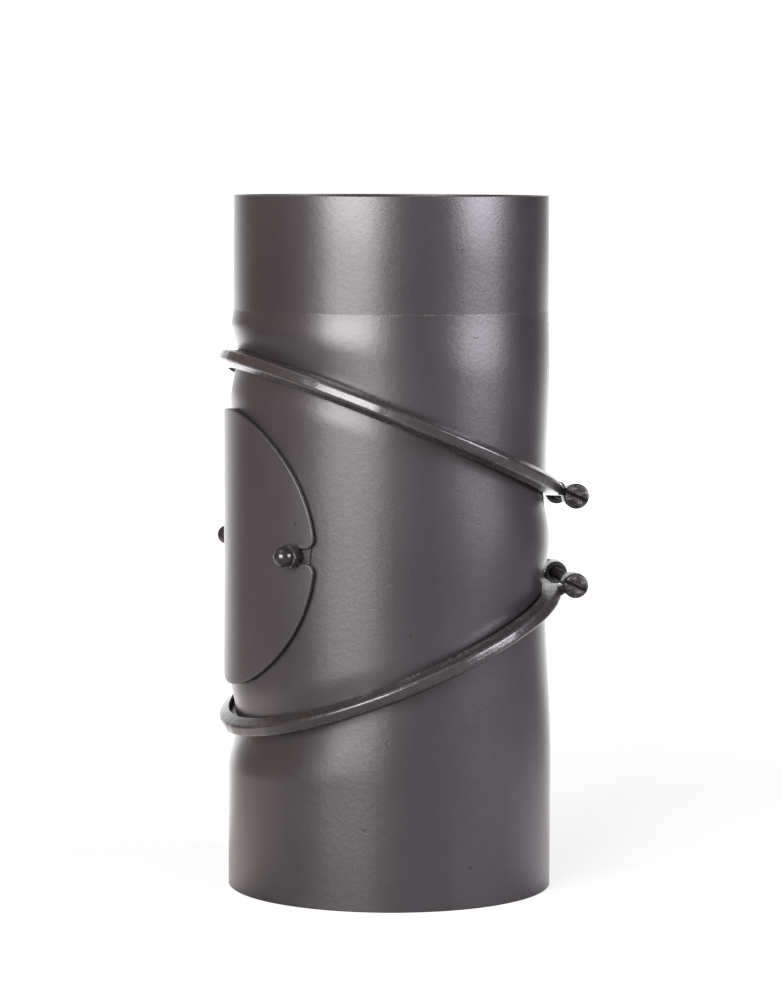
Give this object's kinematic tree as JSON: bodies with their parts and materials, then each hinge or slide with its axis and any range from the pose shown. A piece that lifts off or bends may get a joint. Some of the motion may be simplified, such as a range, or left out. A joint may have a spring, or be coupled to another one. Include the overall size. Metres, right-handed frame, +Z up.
{
  "type": "stove pipe elbow",
  "caption": "Adjustable three-section stove pipe elbow set straight, with slanted swivel joints held by clamp rings, a cleaning cover on the middle section and a drawn-in spigot.",
  "frame": {"origin": "centre of the lower rim, at the open end of the socket", "axes": "+Z up along the pipe axis to the spigot, the cleaning cover faces -X, the clamp screws are on the +X side"},
  "size_m": [0.1738, 0.1744, 0.329],
  "materials": {
    "pipe_paint": "satin heat-proof paint with a slight metallic grain",
    "cover_paint": "satin heat-proof paint",
    "clamp_paint": "thick semi-gloss heat-proof paint",
    "gasket_felt": "pressed fibre felt",
    "stud_steel": "dull steel",
    "cap_nut_steel": "semi-gloss heat-proof paint",
    "screw_steel": "blackened steel"
  },
  "bodies": {
    "bottom": {"bottom_section": "pipe_paint"},
    "middle": {"middle_section": "pipe_paint", "cleaning_cover": "cover_paint", "cover_gasket": "gasket_felt", "front_stud": "stud_steel", "rear_stud": "stud_steel"},
    "top": {"top_section": "pipe_paint"},
    "lower_clamp": {"lower_clamp_band": "clamp_paint", "lower_near_barrel": "clamp_paint", "lower_far_barrel": "clamp_paint", "lower_clamp_nut": "screw_steel"},
    "lower_screw": {"lower_clamp_screw": "screw_steel"},
    "upper_clamp": {"upper_clamp_band": "clamp_paint", "upper_near_barrel": "clamp_paint", "upper_far_barrel": "clamp_paint", "upper_clamp_nut": "screw_steel"},
    "upper_screw": {"upper_clamp_screw": "screw_steel"},
    "front_cap_nut": {"front_cap_nut": "cap_nut_steel"},
    "rear_cap_nut": {"rear_cap_nut": "cap_nut_steel"}
  },
  "joints": [
    {"name": "lower_swivel", "type": "hinge", "parent": "bottom", "child": "middle", "pos_m": [0, 0, 0.111], "axis": [-0.3827, 0, 0.9239], "continuous": true},
    {"name": "upper_swivel", "type": "hinge", "parent": "middle", "child": "top", "pos_m": [0, 0, 0.221], "axis": [0.3827, 0, 0.9239], "continuous": true},
    {"name": "lower_clamp_turn", "type": "hinge", "parent": "bottom", "child": "lower_clamp", "pos_m": [0, 0, 0.111], "axis": [-0.3827, 0, 0.9239], "continuous": true},
    {"name": "upper_clamp_turn", "type": "hinge", "parent": "middle", "child": "upper_clamp", "pos_m": [0, 0, 0.221], "axis": [0.3827, 0, 0.9239], "continuous": true},
    {"name": "lower_screw_turn", "type": "hinge", "parent": "lower_clamp", "child": "lower_screw", "pos_m": [0.08393, -0.01003, 0.14577], "axis": [0.1014, 0.994, 0.042], "continuous": true},
    {"name": "upper_screw_turn", "type": "hinge", "parent": "upper_clamp", "child": "upper_screw", "pos_m": [0.08393, -0.01003, 0.18623], "axis": [0.1014, 0.994, -0.042], "continuous": true},
    {"name": "front_cap_nut_turn", "type": "hinge", "parent": "middle", "child": "front_cap_nut", "pos_m": [0, 0, 0.164], "axis": [-0.7717, -0.636, 0], "continuous": true},
    {"name": "rear_cap_nut_turn", "type": "hinge", "parent": "middle", "child": "rear_cap_nut", "pos_m": [0, 0, 0.164], "axis": [-0.7717, 0.636, 0], "continuous": true}
  ]
}
